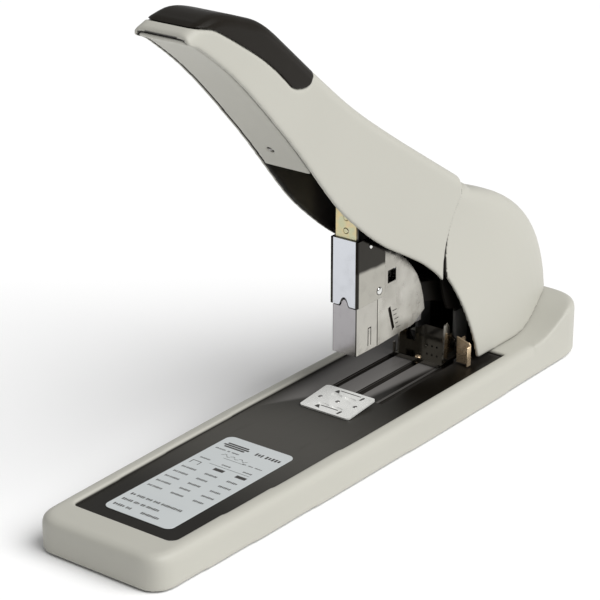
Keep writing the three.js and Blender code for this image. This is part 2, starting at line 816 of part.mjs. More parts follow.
// Side plates: a quarter-round fan with a window and a depth slot, cut away where the magazine sits.
function fanSide() {
  const rearY = headFront + head.fanRear + 2;
  const topY = headFront + steel.head + gap;
  const shape = new THREE.Shape();
  shape.moveTo(topY, head.split + head.splitGap);
  shape.lineTo(topY, head.top - 3);
  shape.lineTo(headFront + 8, head.top - 3);
  shape.bezierCurveTo(
    headFront + 38,
    head.top - 14,
    rearY - 3,
    head.bottom + 35,
    rearY,
    head.bottom + 7,
  );
  shape.lineTo(rearY - 10, head.bottom + 1.5);
  shape.lineTo(headFront + head.noseDepth + gap, head.bottom);
  shape.lineTo(headFront + head.noseDepth + gap, head.split + head.splitGap);
  return shape;
}
const window = { y: headFront + 31.6, z: head.bottom + 35.4, width: 7.4, height: 7 };
const windowCut = box(
  [-far, window.y - window.width / 2, window.z - window.height / 2],
  [far, window.y + window.width / 2, window.z + window.height / 2],
);
const depthBar = new THREE.BoxGeometry(far, 2.2, 14).rotateX(degrees(17));
const depthSlot = solid(depthBar.translate(0, headFront + 31.5, head.bottom + 11.4));
for (const [side, sign] of sides) {
  const fan = slab(fanSide(), ...layer(sign, plateIn, plateOut));
  add("head_plate_" + side, cutBy(fan, [windowCut, depthSlot, ...rivetHoles]), "chrome");
}

// Domed rivets hold the cover on the plates; each is short, so the driver passes between them.
function rivet(sign, { y, z, radius, dome }) {
  const shank = pinAlongX(radius, ...layer(sign, plateIn, coverOut + 0.2), y, z, 16);
  const dished = new THREE.SphereGeometry(dome, 16, 10).scale(0.35, 1, 1);
  const cap = dished.translate(sign * (coverOut + 0.15), y, z);
  const inside = box([-far, -far, -far], [coverOut + 0.1, far, far]).scale([sign, 1, 1]);
  return shank.add(solid(cap).subtract(inside));
}
for (const [side, sign] of sides) {
  add("head_rivet_lower_" + side, rivet(sign, rivets.big), "chrome");
  add("head_rivet_upper_" + side, rivet(sign, rivets.small), "chrome");
}

// The yoke joins the fans to the head pivot behind the magazine.
const yokeFront = headFront + head.fanRear - 6;
const yokeOut = plateIn - gap / 2;
function yokeSide() {
  const shape = new THREE.Shape();
  shape.moveTo(yokeFront, head.bottom + 12);
  shape.lineTo(yokeFront, head.bottom + 24);
  shape.lineTo(headPivotY - 8, headPivotZ + 8);
  shape.absarc(headPivotY, headPivotZ, 7, degrees(120), degrees(-120), true);
  shape.lineTo(yokeFront + 15, head.bottom + 9);
  return shape;
}
const yokeBody = slab(yokeSide(), -yokeOut, yokeOut);
const yokeHollow = bar(yokeOut - steel.arm, [yokeFront - past, far], [0, far]);
const yokeWeb = bar(yokeOut, [yokeFront + 16, yokeFront + 26], [head.bottom, head.bottom + 30]);
const crossWeb = yokeBody.intersect(yokeWeb);
add(
  "head_yoke",
  yokeBody
    .subtract(yokeHollow)
    .add(crossWeb)
    .subtract(pinAlongX(headPivot.pin + pinFit, -far, far, headPivotY, headPivotZ)),
  "black_steel",
);

// ---- Driver -----------------------------------------------------------------------------

const bladeFront = headFront + 2.8;
const bladeRear = bladeFront + driver.thick;
const holderFront = headFront + steel.head + 0.5;
const holderRear = bladeFront - gap;
const holderHalf = plateIn - 0.35;
const driverRivetZ = [pinZ - 20, pinZ - 27];
const bracketEar = (sign) =>
  box(
    [layer(sign, holderHalf - 1.5, holderHalf)[0], holderFront, pinZ - 10],
    [layer(sign, holderHalf - 1.5, holderHalf)[1], pinY + 6, pinZ + 6],
  );
const holder = joined([
  bar(holderHalf, [holderFront, holderRear], [head.split + driver.stroke + 0.8, pinZ + 6]),
  bracketEar(-1),
  bracketEar(1),
]);
const driverRivetRadius = 1.5;
const driverRivetHoles = driverRivetZ.map((z) =>
  pinAlongY(driverRivetRadius + pinFit, headFront, bladeRear + past, 0, z, 16),
);
add(
  "driver_holder",
  cutBy(holder, [
    pinAlongX(drivePin.radius + 0.1, -far, far, pinY, pinZ),
    ...driverRivetHoles,
  ]),
  "yellow_zinc",
);
add(
  "driver_blade",
  cutBy(
    bar(driverHalf, [bladeFront, bladeRear], [head.split + driver.restAbove, pinZ - 14]),
    driverRivetHoles,
  ),
  "grey_steel",
);
driverRivetZ.forEach((z, i) => {
  const pin = pinAlongY(driverRivetRadius, holderFront - 0.2, bladeRear + 0.4, 0, z, 16);
  add("driver_rivet_" + ["upper", "lower"][i], pin, "yellow_zinc");
});
add("drive_pin", pinAlongX(drivePin.radius, -leverOut - 0.6, leverOut + 0.6, pinY, pinZ), "grey_steel");

// ---- Magazine ---------------------------------------------------------------------------------

// The lower front cover slides out with the magazine; its raised tongue fits the arch above it.
function tonguedFront() {
  const shape = new THREE.Shape();
  const [half, low, high] = [noseOut, head.bottom, head.split];
  shape.moveTo(-half, low);
  shape.lineTo(half, low);
  shape.lineTo(half, high);
  shape.lineTo(3.1, high);
  shape.bezierCurveTo(1.8, high, 1.8, high + 4, 0, high + 4);
  shape.bezierCurveTo(-1.8, high + 4, -1.8, high, -3.1, high);
  shape.lineTo(-half, high);
  return shape;
}
const noseFront = headFront + 0.4;
const noseRear = headFront + head.noseDepth;
const noseInside = bladeFront - gap;
const noseBlock = frontSlab(tonguedFront(), noseFront, noseRear);
const aboveSplit = box([-far, noseFront + steel.head, head.split], [far, far, far]);
const catchTab = sides.map(([, sign]) => {
  const [from, to] = layer(sign, noseIn - past, noseOut + past);
  return joined([
    box([from, noseRear - 8, head.bottom + 2.5], [to, noseRear - 7.4, head.bottom + 12]),
    box([from, noseRear - 5.6, head.bottom + 2.5], [to, noseRear - 5, head.bottom + 12]),
    box([from, noseRear - 8, head.bottom + 12], [to, noseRear - 5, head.bottom + 12.6]),
  ]);
});
add(
  "magazine_front",
  cutBy(noseBlock, [
    aboveSplit,
    bar(noseIn, [noseInside, noseRear + past], [head.bottom - past, head.split + past]),
    ...catchTab,
  ]),
  "chrome",
);

const railFront = bladeRear + gap;
const railRear = yokeFront - 3;
const coreHalf = staplesHalf - staple.wire - 0.3;
const floorTop = head.bottom + 1;
const stapleTop = floorTop + 0.2 + staple.leg + staple.wire;
const coreTop = stapleTop - staple.wire - 0.2;
const railTail = [railRear - past, railRear + 11];
add(
  "magazine_rail",
  bar(coreHalf, [railFront, railRear], [floorTop - steel.rail, coreTop])
    .add(bar(staplesHalf - 0.05, [railFront, railRear], [floorTop - steel.rail, floorTop]))
    .add(bar(coreHalf, railTail, [floorTop - steel.rail, floorTop + 6]))
    .subtract(
      bar(coreHalf - steel.rail, [railFront + 2, railRear + past], [floorTop, coreTop - steel.rail]),
    ),
  "grey_steel",
);

const astride = (halfOuter, halfInner, y, z, roof) =>
  bar(halfOuter, y, z).subtract(bar(halfInner, [y[0] - past, y[1] + past], [z[0] - past, roof]));
const stripRear = railFront + 0.2 + staple.strip;
add(
  "staple_strip",
  astride(
    staplesHalf,
    staplesHalf - staple.wire,
    [railFront + 0.2, stripRear],
    [floorTop + 0.2, stapleTop],
    stapleTop - staple.wire,
  ),
  "spring_steel",
);
add(
  "staple_pusher",
  astride(
    staplesHalf,
    coreHalf + 0.2,
    [stripRear + gap, stripRear + gap + 6],
    [floorTop + gap, stapleTop],
    coreTop + 0.2,
  ),
  "black_plastic",
);
const springZ = (floorTop + coreTop) / 2;
add(
  "pusher_spring",
  pinAlongY(2.6, railFront + 3, stripRear, 0, springZ, 12).subtract(
    pinAlongY(1.9, railFront + 2, stripRear + past, 0, springZ, 12),
  ),
  "spring_steel",
);

// ---- Paper stop -------------------------------------------------------------------------------

const stopFront = pivotY - stop.ahead;
const stopRear = cheekFront - 1.5;
const stopBottom = deckTop + gap;
const stopFloorTop = stopBottom + stop.thick;
function stopCheek() {
  const tallFront = stopFront + 4.2;
  const top = stopBottom + stop.height;
  const shape = new THREE.Shape();
  shape.moveTo(tallFront, stopBottom);
  shape.lineTo(tallFront + 1.6, top - 2);
  shape.quadraticCurveTo(tallFront + 2, top, tallFront + 3.6, top - 0.4);
  shape.lineTo(tallFront + 5.2, top - 2.4);
  shape.lineTo(stopFront + stop.depth, stopBottom + 2);
  shape.lineTo(stopFront + stop.depth, stopBottom);
  return shape;
}
function stopBack() {
  const top = stopBottom + stop.backHeight;
  return polygon([
    [-stopHalf, stopBottom],
    [stopHalf, stopBottom],
    [stopHalf, top - 4],
    [stopHalf - 8, top],
    [-stopHalf + 11, top],
    [-stopHalf + 4, top - 3.6],
    [-stopHalf + 4, stopBottom + 4],
    [-stopHalf, stopBottom + 4],
  ]);
}
const lip = bar(stopHalf, [stopFront, stopFront + stop.thick], [stopBottom, stopBottom + 2.2]);
const stopFloor = bar(stopHalf, [stopFront, stopRear], [stopBottom, stopFloorTop]);
const back = frontSlab(stopBack(), stopRear - stop.thick, stopRear);
const leftPost = box(
  [-stopHalf, stopFront, stopBottom],
  [-stopHalf + stop.thick, stopFront + 1.4, stopBottom + 8],
);
const runners = [
  bar(slotHalf - gap, [stopFront + 2, stopRear - 2], [deckBottom, stopBottom + 0.1]),
  ...sides.map(([, sign]) => {
    const [from, to] = layer(sign, sideSlot[0] + gap, stopHalf);
    return box([from, stopFront + 5, deckBottom], [to, stopRear - 2, stopBottom + 0.1]);
  }),
];
const holeRow = [-3.2, 0, 3.2].map((x) =>
  pinAlongY(0.6, stopRear - 2, stopRear + past, x, stopFloorTop + 2.6, 12),
);
const knob = { y: stopFront + 2.4, radius: 1.7 };
// The frame's cheeks stand behind the stop, and nothing of the stop may touch them.
const roomForCheeks = sides.map(([, sign]) => {
  const [from, to] = layer(sign, cheekIn - gap, cheekOut + gap);
  return box([from, cheekFront - gap, -far], [to, far, far]);
});
add(
  "paper_stop",
  cutBy(
    joined([
      stopFloor,
      lip,
      back,
      leftPost,
      ...runners,
      ...sides.map(([, sign]) => slab(stopCheek(), ...layer(sign, stopHalf - stop.thick, stopHalf))),
    ]),
    [...holeRow, ...roomForCheeks, pinAlongZ(knob.radius + gap, 0, far, 0, knob.y, 16)],
  ),
  "chrome",
);
add(
  "stop_guide_pin",
  pinAlongZ(knob.radius, deckBottom, stopFloorTop + 1.6, 0, knob.y, 16),
  "brass",
);

// The lock lever: a brass tab outside the right cheek on a small black hub.
const lock = {
  y: stopFront + 12.5,
  inner: stopHalf + 2 * gap + 2.4,
  width: 8.8,
  height: 13,
  thick: 0.9,
};
const lockBottom = deckTop + 0.6;
const hub = { radius: 2.4, y: lock.y + 4, z: lockBottom + 8 };
add(
  "lock_hub",
  cutBy(pinAlongX(hub.radius, stopHalf + gap, lock.inner - gap, hub.y, hub.z, 16), roomForCheeks),
  "black_plastic",
);
function lockTab() {
  const [x0, x1, top] = [lock.inner, lock.inner + lock.width, lockBottom + lock.height];
  const shape = new THREE.Shape();
  shape.moveTo(x0, lockBottom);
  shape.lineTo(x1, lockBottom);
  shape.lineTo(x1, top - 2);
  shape.quadraticCurveTo(x1, top, x1 - 2, top);
  shape.lineTo(x0, top + 2);
  return shape;
}
const tabFace = frontSlab(lockTab(), lock.y, lock.y + lock.thick);
const tabEar = box(
  [lock.inner, lock.y, lockBottom + 3],
  [lock.inner + lock.thick, hub.y + 3.4, lockBottom + lock.height],
);
const tabFlange = box(
  [lock.inner + lock.width - lock.thick, lock.y - 2.6, lockBottom],
  [lock.inner + lock.width, lock.y + lock.thick, lockBottom + lock.height - 2],
);
add("stop_lock_lever", joined([tabFace, tabEar, tabFlange]), "brass");

export default stapler;
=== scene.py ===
# %% [markdown]
# # A heavy-duty stapler
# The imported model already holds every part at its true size. This lesson gives each part the
# finish it has on the real tool: moulded covers with soft edges, plated sheet steel, painted
# steel, rubber and brass. Parts whose CAD solid is only a stand-in, such as springs and
# staples, are modelled again in full.

import json
from math import cos, pi, radians, sin

import bmesh
import bpy
from mathutils import Matrix, Vector


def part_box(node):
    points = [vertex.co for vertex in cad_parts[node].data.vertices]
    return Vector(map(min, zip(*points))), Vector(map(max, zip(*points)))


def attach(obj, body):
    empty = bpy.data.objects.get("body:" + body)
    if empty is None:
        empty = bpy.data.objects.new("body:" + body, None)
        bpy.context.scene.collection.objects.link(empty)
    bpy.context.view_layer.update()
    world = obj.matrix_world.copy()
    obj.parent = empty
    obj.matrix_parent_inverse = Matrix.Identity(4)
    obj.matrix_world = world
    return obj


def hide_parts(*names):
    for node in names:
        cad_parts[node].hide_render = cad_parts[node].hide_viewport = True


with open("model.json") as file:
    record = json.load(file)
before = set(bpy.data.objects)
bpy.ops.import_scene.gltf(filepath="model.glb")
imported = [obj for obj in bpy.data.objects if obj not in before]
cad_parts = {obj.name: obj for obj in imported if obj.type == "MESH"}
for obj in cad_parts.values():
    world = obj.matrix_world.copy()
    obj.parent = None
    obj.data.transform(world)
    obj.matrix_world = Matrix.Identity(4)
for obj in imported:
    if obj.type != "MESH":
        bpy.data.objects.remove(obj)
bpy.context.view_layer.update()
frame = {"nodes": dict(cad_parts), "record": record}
nodes = frame["nodes"]
bodies = frame["record"]["behaviour"]["bodies"]
body_of = {node: body for body, members in bodies.items() for node in members}
slot_of = {part["node"]: part["material_slot"] for part in frame["record"]["subparts"]}
mm = 0.001

# %% [markdown]
# ## Arithmetic on shader sockets
# A finish is mostly a few masks added and multiplied together. Writing that with separate
# Math nodes hides the idea, so one small class wraps a socket and turns + - * into nodes.

# %% Signals
class Signal:
    """A number socket that can be used in an expression."""

    def __init__(self, finish, socket):
        self.finish = finish
        self.socket = socket

    def __add__(self, other):
        return self.finish.math("ADD", self, other)

    def __sub__(self, other):
        return self.finish.math("SUBTRACT", self, other)

    def __rsub__(self, other):
        return self.finish.math("SUBTRACT", other, self)

    def __mul__(self, other):
        return self.finish.math("MULTIPLY", self, other)

    __radd__ = __add__
    __rmul__ = __mul__

    def between(self, low, high):
        """0 below low, 1 above high, and smooth in between."""
        ramp = self.finish.node(
            "ShaderNodeMapRange",
            {"interpolation_type": "SMOOTHSTEP"},
            {"Value": self, "From Min": low, "From Max": high},
        )
        return Signal(self.finish, ramp.outputs["Result"])

    def below(self, limit):
        return self.finish.math("LESS_THAN", self, limit)


# %% [markdown]
# ## A finish
# Each finish is one Principled material. What is the same all over is set on the shader's own
# socket. What changes over the surface is painted from noise, or from how far along the part's
# own axes the surface lies.

# %% Finishes
class Finish:
    """A material under construction."""

    def __init__(self, name, **uniform):
        self.material = bpy.data.materials.new(name)
        self.material.use_nodes = True
        self.tree = self.material.node_tree
        self.shader = self.tree.nodes["Principled BSDF"]
        self.fill(self.shader, {key.replace("_", " "): value for key, value in uniform.items()})
        self.place = self.node("ShaderNodeTexCoord").outputs["Object"]

    def fill(self, node, inputs):
        for name, value in inputs.items():
            socket = node.inputs[name]
            if isinstance(value, Signal):
                value = value.socket
            if isinstance(value, bpy.types.NodeSocket):
                self.tree.links.new(value, socket)
            else:
                socket.default_value = value

    def node(self, kind, settings=None, inputs=None):
        made = self.tree.nodes.new(kind)
        for name, value in (settings or {}).items():
            setattr(made, name, value)
        self.fill(made, inputs or {})
        return made

    def math(self, operation, first, second):
        made = self.node("ShaderNodeMath", {"operation": operation}, {0: first, 1: second})
        return Signal(self, made.outputs[0])

    def axis(self, letter):
        """How far along X, Y or Z the surface is, in millimetres."""
        parts = self.node("ShaderNodeSeparateXYZ", None, {0: self.place})
        return Signal(self, parts.outputs[letter]) * (1 / mm)

    def noise(self, size, detail=2.0, stretch=(1, 1, 1)):
        """Soft random spots of a size in millimetres; a large stretch makes streaks."""
        scale = [1 / (size * mm * amount) for amount in stretch]
        spread = self.node("ShaderNodeMapping", None, {"Vector": self.place, "Scale": scale})
        made = self.node(
            "ShaderNodeTexNoise",
            None,
            {"Vector": spread.outputs[0], "Scale": 1.0, "Detail": detail},
        )
        return Signal(self, made.outputs["Fac"])

    def edges(self, low=0.51, high=0.58):
        """1 on worn outer edges, 0 elsewhere."""
        made = self.node("ShaderNodeNewGeometry")
        return Signal(self, made.outputs["Pointiness"]).between(low, high)

    def blend(self, amount, first, second):
        """A colour between two others."""
        made = self.node("ShaderNodeMix", {"data_type": "RGBA"}, {"Factor": amount})
        for socket, value in ((made.inputs[6], first), (made.inputs[7], second)):
            if isinstance(value, bpy.types.NodeSocket):
                self.tree.links.new(value, socket)
            else:
                socket.default_value = (*value, 1.0)
        return made.outputs[2]

    def relief(self, height, depth, strength=1.0):
        """Bumps of a depth in millimetres."""
        made = self.node(
            "ShaderNodeBump", None, {"Height": height, "Distance": depth * mm, "Strength": strength}
        )
        self.fill(self.shader, {"Normal": made.outputs[0]})

    def paint(self, colour, roughness):
        self.fill(self.shader, {"Base Color": colour, "Roughness": roughness})
        return self.material


# %% [markdown]
# ## Moulded plastic
# The covers are satin plastic in a warm light grey. A real moulding is never one flat colour:
# it drifts slightly, its spark-eroded skin breaks up the highlight, and hands polish its edges.
# Their hollows, the housing's edge along the seam and the well round the deck get painted
# shade: those vertices are painted near black.

# %% Light grey plastic
def make_shell():
    finish = Finish("warm_grey_plastic", Specular_IOR_Level=0.3)
    drift = finish.noise(60, 1.0)
    skin = finish.noise(0.45, 3.0)
    worn = finish.edges()
    # Painted shade: vertices marked by the covers' tests are blended to near black.
    painted_shade = finish.node("ShaderNodeAttribute", {"attribute_name": "painted_shade"}).outputs["Fac"]
    colour = finish.blend(drift, (0.428, 0.420, 0.372), (0.456, 0.448, 0.398))
    colour = finish.blend(worn * 0.35, colour, (0.52, 0.51, 0.46))
    colour = finish.blend(painted_shade, colour, (0.012, 0.010, 0.008))
    finish.relief(skin, 0.035, 0.35)
    rough = 0.46 + (drift - 0.5) * 0.1 + (skin - 0.5) * 0.06 - worn * 0.08
    return finish.paint(colour, rough)


def make_black_plastic():
    finish = Finish("black_plastic", Specular_IOR_Level=0.15)
    skin = finish.noise(0.4, 3.0)
    drift = finish.noise(20, 1.0)
    finish.relief(skin, 0.03, 0.4)
    colour = finish.blend(drift, (0.010, 0.008, 0.006), (0.018, 0.015, 0.012))
    return finish.paint(colour, 0.42 + (skin - 0.5) * 0.12)


def make_rubber():
    finish = Finish("grip_rubber", Specular_IOR_Level=0.12)
    skin = finish.noise(0.55, 4.0)
    dust = finish.noise(9, 3.0).between(0.55, 0.8)
    finish.relief(skin, 0.05, 0.5)
    colour = finish.blend(dust * 0.4, (0.0100, 0.0080, 0.0055), (0.024, 0.021, 0.017))
    return finish.paint(colour, 0.38 + dust * 0.14 + (skin - 0.5) * 0.1)


# %% [markdown]
# ## Painted steel
# The deck is stoved dark paint with a faint orange peel. Over it is a painted reflection: a
# lighter tone across its middle that fades towards both ends, to near black at the rear under
# the head. The frame's cheeks are nearly black, with a grey strip low at the front.

# %% Painted steel
def make_painted_steel():
    finish = Finish("dark_painted_steel", Specular_IOR_Level=0.15)
    peel = finish.noise(1.1, 1.0)
    scuffs = finish.noise(5, 5.0, (1, 9, 1)).between(0.62, 0.78)
    worn = finish.edges(0.53, 0.62)
    finish.relief(peel, 0.02, 0.3)
    along = finish.axis("Y")
    # Painted reflection: lighter over the middle of the deck, dimmer at the very front, near black
    # towards the rear.
    painted_reflection = (1 - along.between(-45, 45)) * (0.15 + along.between(-140, -50) * 0.85)
    colour = finish.blend(painted_reflection, (0.0042, 0.0033, 0.0020), (0.060, 0.057, 0.050))
    colour = finish.blend(scuffs * 0.25, colour, (0.055, 0.051, 0.045))
    colour = finish.blend(worn * 0.6, colour, (0.22, 0.21, 0.20))
    return finish.paint(colour, 0.34 + scuffs * 0.1 + (peel - 0.5) * 0.05)


def make_frame_paint():
    """The frame's cheeks: near-black paint, with a grey strip low at the front."""
    finish = Finish("frame_paint", Specular_IOR_Level=0.12)
    strip_length, strip_height = 12.0, 27.0
    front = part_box("chassis_floor")[0][1] / mm
    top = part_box("deck_plate")[1][2] / mm
    near = finish.axis("Y").below(front + strip_length)
    strip = near * finish.axis("Z").below(top + strip_height)
    specks = finish.noise(0.7, 3.0)
    colour = finish.blend(strip, (0.006, 0.005, 0.004), (0.085, 0.083, 0.080))
    finish.relief(specks, 0.02, 0.3)
    return finish.paint(colour, 0.42 + (specks - 0.5) * 0.1)


# %% [markdown]
# ## Plated and bare steel
# The head is nickel-chrome over pressed sheet, so it keeps the fine draw lines of the press and
# picks up finger smears. Dark bands on the head are painted reflections, painted into its finish
# so that they stay with it when it moves. The driver's holder is yellow zinc, which drifts
# between straw, green and pink.

# %% Plated and bare steel
def make_chrome(name, face, side=None, front=None):
    """Plated sheet. With a front given, the sides bent back from it get their own colour.

    The bend itself and a band at the top of the sides are painted dark, as painted reflections.
    The sides' own darker colour is a painted reflection too.
    """
    polish = 0.13
    bend_low, bend_high = 6.9, 7.2
    band_low, band_high = 87.5, 90
    finish = Finish(name, Metallic=1.0)
    lines = finish.noise(0.22, 2.0, (1, 1, 40))
    smears = finish.noise(7, 4.0).between(0.48, 0.72)
    wave = finish.noise(14, 1.0)
    finish.relief(wave + lines * 0.03, 0.10, 0.35)
    colour = finish.blend(smears * 0.2, face, tuple(0.75 * value for value in face))
    if front is not None:
        across = finish.axis("X")
        along = finish.axis("Y")
        left_bent = 1 - across.between(-bend_high, -bend_low)
        bent = across.between(bend_low, bend_high) + left_bent
        # Painted reflections: a dark line along the bend, and a dark band high on the sides.
        bend_reflection = bent * (1 - along.between(front + 0.9, front + 1.4))
        height = finish.axis("Z") + (wave - 0.5) * 3
        reflection_band = bent * height.between(band_low, band_high)
        # The sides' colour is a painted reflection, darker and warmer than the face.
        sides = finish.blend(smears * 0.25, side, tuple(0.7 * value for value in side))
        colour = finish.blend(bent, colour, sides)
        colour = finish.blend(reflection_band * 0.95, colour, (0.010, 0.008, 0.005))
        colour = finish.blend(bend_reflection * 0.95, colour, (0.010, 0.008, 0.006))
    return finish.paint(colour, polish + smears * 0.08 + (lines - 0.5) * 0.06)


def make_anvil_plate():
    """The anvil is ground and bright, with fine scratches from front to rear."""
    finish = Finish("ground_anvil", Metallic=0.3)
    scratches = finish.noise(0.35, 3.0, (1, 12, 1))
    worn = finish.noise(3, 3.0).between(0.5, 0.8)
    finish.relief(scratches, 0.02, 0.4)
    colour = finish.blend(worn * 0.5, (0.84, 0.84, 0.81), (0.66, 0.66, 0.63))
    return finish.paint(colour, 0.26 + (scratches - 0.5) * 0.14 + worn * 0.1)


def make_head_plate():
    """The side plates: dull nickel, with dark paint near the top and low at the rear."""
    finish = Finish("nickel_painted_reflection", Metallic=1.0)
    lines = finish.noise(0.22, 2.0, (1, 1, 40))
    smears = finish.noise(6, 4.0).between(0.45, 0.75)
    drift = finish.noise(16, 1.0).between(0.3, 0.7)
    along = finish.axis("Y")
    height = finish.axis("Z") + (finish.noise(9, 2.0) - 0.5) * 6
    # Painted reflection: the band near the top is painted near black, for the dark handle above;
    # the plates are also painted darker low at the rear.
    top_reflection_band = height.between(90, 97)
    low = (1 - height.between(45, 53)) * along.between(36, 46)
    colour = finish.blend(drift, (0.40, 0.385, 0.345), (0.52, 0.505, 0.46))
    colour = finish.blend(smears * 0.25, colour, (0.30, 0.285, 0.25))
    colour = finish.blend(top_reflection_band * 0.93, colour, (0.008, 0.006, 0.004))
    colour = finish.blend(low * 0.6, colour, (0.05, 0.045, 0.035))
    finish.relief(lines, 0.01, 0.3)
    return finish.paint(colour, 0.20 + smears * 0.12 + (lines - 0.5) * 0.06)


def make_grey_steel():
    finish = Finish("bare_steel", Metallic=1.0)
    grain = finish.noise(0.3, 3.0, (1, 14, 1))
    stain = finish.noise(6, 4.0).between(0.5, 0.75)
    finish.relief(grain, 0.015, 0.4)
    colour = finish.blend(stain * 0.5, (0.36, 0.35, 0.34), (0.22, 0.20, 0.185))
    return finish.paint(colour, 0.30 + stain * 0.15 + (grain - 0.5) * 0.12)


def make_yellow_zinc():
    finish = Finish("yellow_zinc", Metallic=0.85)
    drift = finish.noise(5, 2.0).between(0.35, 0.65)
    pink = finish.noise(3, 2.0).between(0.55, 0.75)
    grain = finish.noise(0.35, 3.0)
    colour = finish.blend(drift, (0.74, 0.60, 0.33), (0.60, 0.60, 0.40))
    colour = finish.blend(pink * 0.4, colour, (0.74, 0.50, 0.42))
    finish.relief(grain, 0.012, 0.3)
    return finish.paint(colour, 0.30 + (grain - 0.5) * 0.12)


def make_brass():
    finish = Finish("brass", Metallic=0.75)
    grain = finish.noise(0.3, 2.0, (1, 1, 12))
    tarnish = finish.noise(4, 4.0).between(0.5, 0.75)
    finish.relief(grain, 0.012, 0.3)
    colour = finish.blend(tarnish * 0.5, (0.86, 0.66, 0.44), (0.62, 0.42, 0.24))
    return finish.paint(colour, 0.22 + tarnish * 0.18 + (grain - 0.5) * 0.08)


def make_spring_steel():
    finish = Finish("spring_wire", Metallic=1.0)
    grain = finish.noise(0.25, 2.0)
    colour = finish.blend(finish.noise(8, 1.0), (0.50, 0.49, 0.48), (0.42, 0.40, 0.38))
    return finish.paint(colour, 0.24 + (grain - 0.5) * 0.1)


def make_label_film():
    finish = Finish("silver_film", Metallic=0.25, Coat_Weight=0.3, Coat_Roughness=0.15)
    fleck = finish.noise(0.25, 1.0)
    drift = finish.noise(25, 1.0)
    colour = finish.blend(drift, (0.60, 0.635, 0.64), (0.66, 0.69, 0.69))
    return finish.paint(colour, 0.36 + (fleck - 0.5) * 0.14)


# Black ink for the print, also used for the anvil pockets' painted shade.
def make_ink_and_shade():
    finish = Finish("printing_ink_and_shade", Specular_IOR_Level=0.4)
    patchy = finish.noise(0.5, 3.0)
    colour = finish.blend(patchy, (0.030, 0.028, 0.026), (0.055, 0.052, 0.048))
    return finish.paint(colour, 0.45 + (patchy - 0.5) * 0.1)


finishes = {
    "shell": make_shell(),
    "black_plastic": make_black_plastic(),
    "rubber": make_rubber(),
    "black_steel": make_painted_steel(),
    "grey_steel": make_grey_steel(),
    "chrome": make_chrome("bright_chrome", (0.72, 0.72, 0.70)),
    "yellow_zinc": make_yellow_zinc(),
    "brass": make_brass(),
    "label_film": make_label_film(),
    "spring_steel": make_spring_steel(),
}
frame_paint = make_frame_paint()
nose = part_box("front_cover")[0][1] / mm
# Painted reflections: the cover's face is light, the magazine front's face darker, for the deck it
# reflects, and both sides darker and warmer.
cover_chrome = make_chrome("cover_chrome", (0.66, 0.68, 0.72), (0.42, 0.405, 0.36), nose)
magazine_chrome = make_chrome("magazine_chrome", (0.42, 0.405, 0.415), (0.46, 0.445, 0.405), nose)
stop_chrome = make_chrome("smoked_chrome", (0.27, 0.255, 0.225))
head_plate = make_head_plate()
anvil_finish = make_anvil_plate()
ink_and_shade = make_ink_and_shade()
print("shared finishes:", len(finishes))

# %% [markdown]
# ## From CAD solid to finished piece
# A CAD solid arrives as loose triangles. A copy of it is merged and its flat faces are joined,
# so that modifiers can work on it. The frame's own mesh stays as it is.

# %% Copies and pieces
weld_distance = 0.002  # millimetres
flat_angle = 0.6  # degrees
bevel_segments = 2
bevel_angle = 35  # degrees


def merged_copy(node):
    """The CAD shape with its corners welded and its flat faces joined."""
    shape = bmesh.new()
    shape.from_mesh(nodes[node].data)
    bmesh.ops.remove_doubles(shape, verts=shape.verts, dist=weld_distance * mm)
    bmesh.ops.dissolve_limit(
        shape, angle_limit=radians(flat_angle), verts=shape.verts, edges=shape.edges
    )
    return shape


def piece(name, shape, material, body, replaces=(), crease=32.0):
    """A finished object from a shape, riding on its body."""
    mesh = bpy.data.meshes.new(name)
    shape.to_mesh(mesh)
    shape.free()
    mesh.shade_smooth()
    mesh.set_sharp_from_angle(angle=radians(crease))
    mesh.materials.append(material)
    made = bpy.data.objects.new(name, mesh)
    bpy.context.scene.collection.objects.link(made)
    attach(made, body)
    if replaces:
        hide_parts(*replaces)
    return made


def pressed(node, edge, material=None):
    """A sheet, bar or turned part: its CAD shape with broken edges."""
    slot = slot_of[node]
    made = piece(
        node + "_finished",
        merged_copy(node),
        material or finishes[slot],
        body_of[node],
        (node,),
    )
    bevel = made.modifiers.new("broken edges", "BEVEL")
    bevel.width = edge * mm
    bevel.segments = bevel_segments
    bevel.limit_method = "ANGLE"
    bevel.angle_limit = radians(bevel_angle)
    return made


# %% [markdown]
# A moulded cover has no sharp edge anywhere, because the tool's corners are radiused and the
# plastic shrinks. Rebuilding the skin on a fine grid and relaxing it gives just that, and wipes
# out the facets of the CAD solid at the same time.

# %% Moulded covers
# Lengths in millimetres: half the width of the hollow and the depth of its wall, the seam's
# radius about the handle's pivot, and the margins round the deck's well.
# These lengths place the covers' painted shade.
cavity = 14.0
wall_depth = 1.5
seam_radius = 51.4
seam_reach = 1.0
seam_low = 8
well_gap = 1.2
well_rise = 1.1
moulding_crease = 70.0  # degrees


# Records, per vertex, where the shell's finish paints shade near black.
def darken_inside(mesh, shaded):
    """Mark the vertices that the given test calls hidden."""
    mark = mesh.attributes.new("painted_shade", "FLOAT", "POINT")
    for index, vertex in enumerate(mesh.vertices):
        mark.data[index].value = 1.0 if shaded(vertex.co / mm, vertex.normal) else 0.0


# Painted shade for the hollow: its inward walls and its roof are painted near black.
def in_cavity(place, normal):
    """The hollow of the handle or the housing: walls that face inwards, and the roof."""
    outwards = normal.x * (1 if place.x > 0 else -1)
    wall = abs(place.x) > cavity - wall_depth and outwards < -0.3
    roof = abs(place.x) <= cavity and normal.z < -0.1
    return wall or roof


pivot_low, pivot_high = (Vector(corner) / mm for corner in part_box("handle_pivot_pin"))
pivot_centre = (pivot_low + pivot_high) / 2


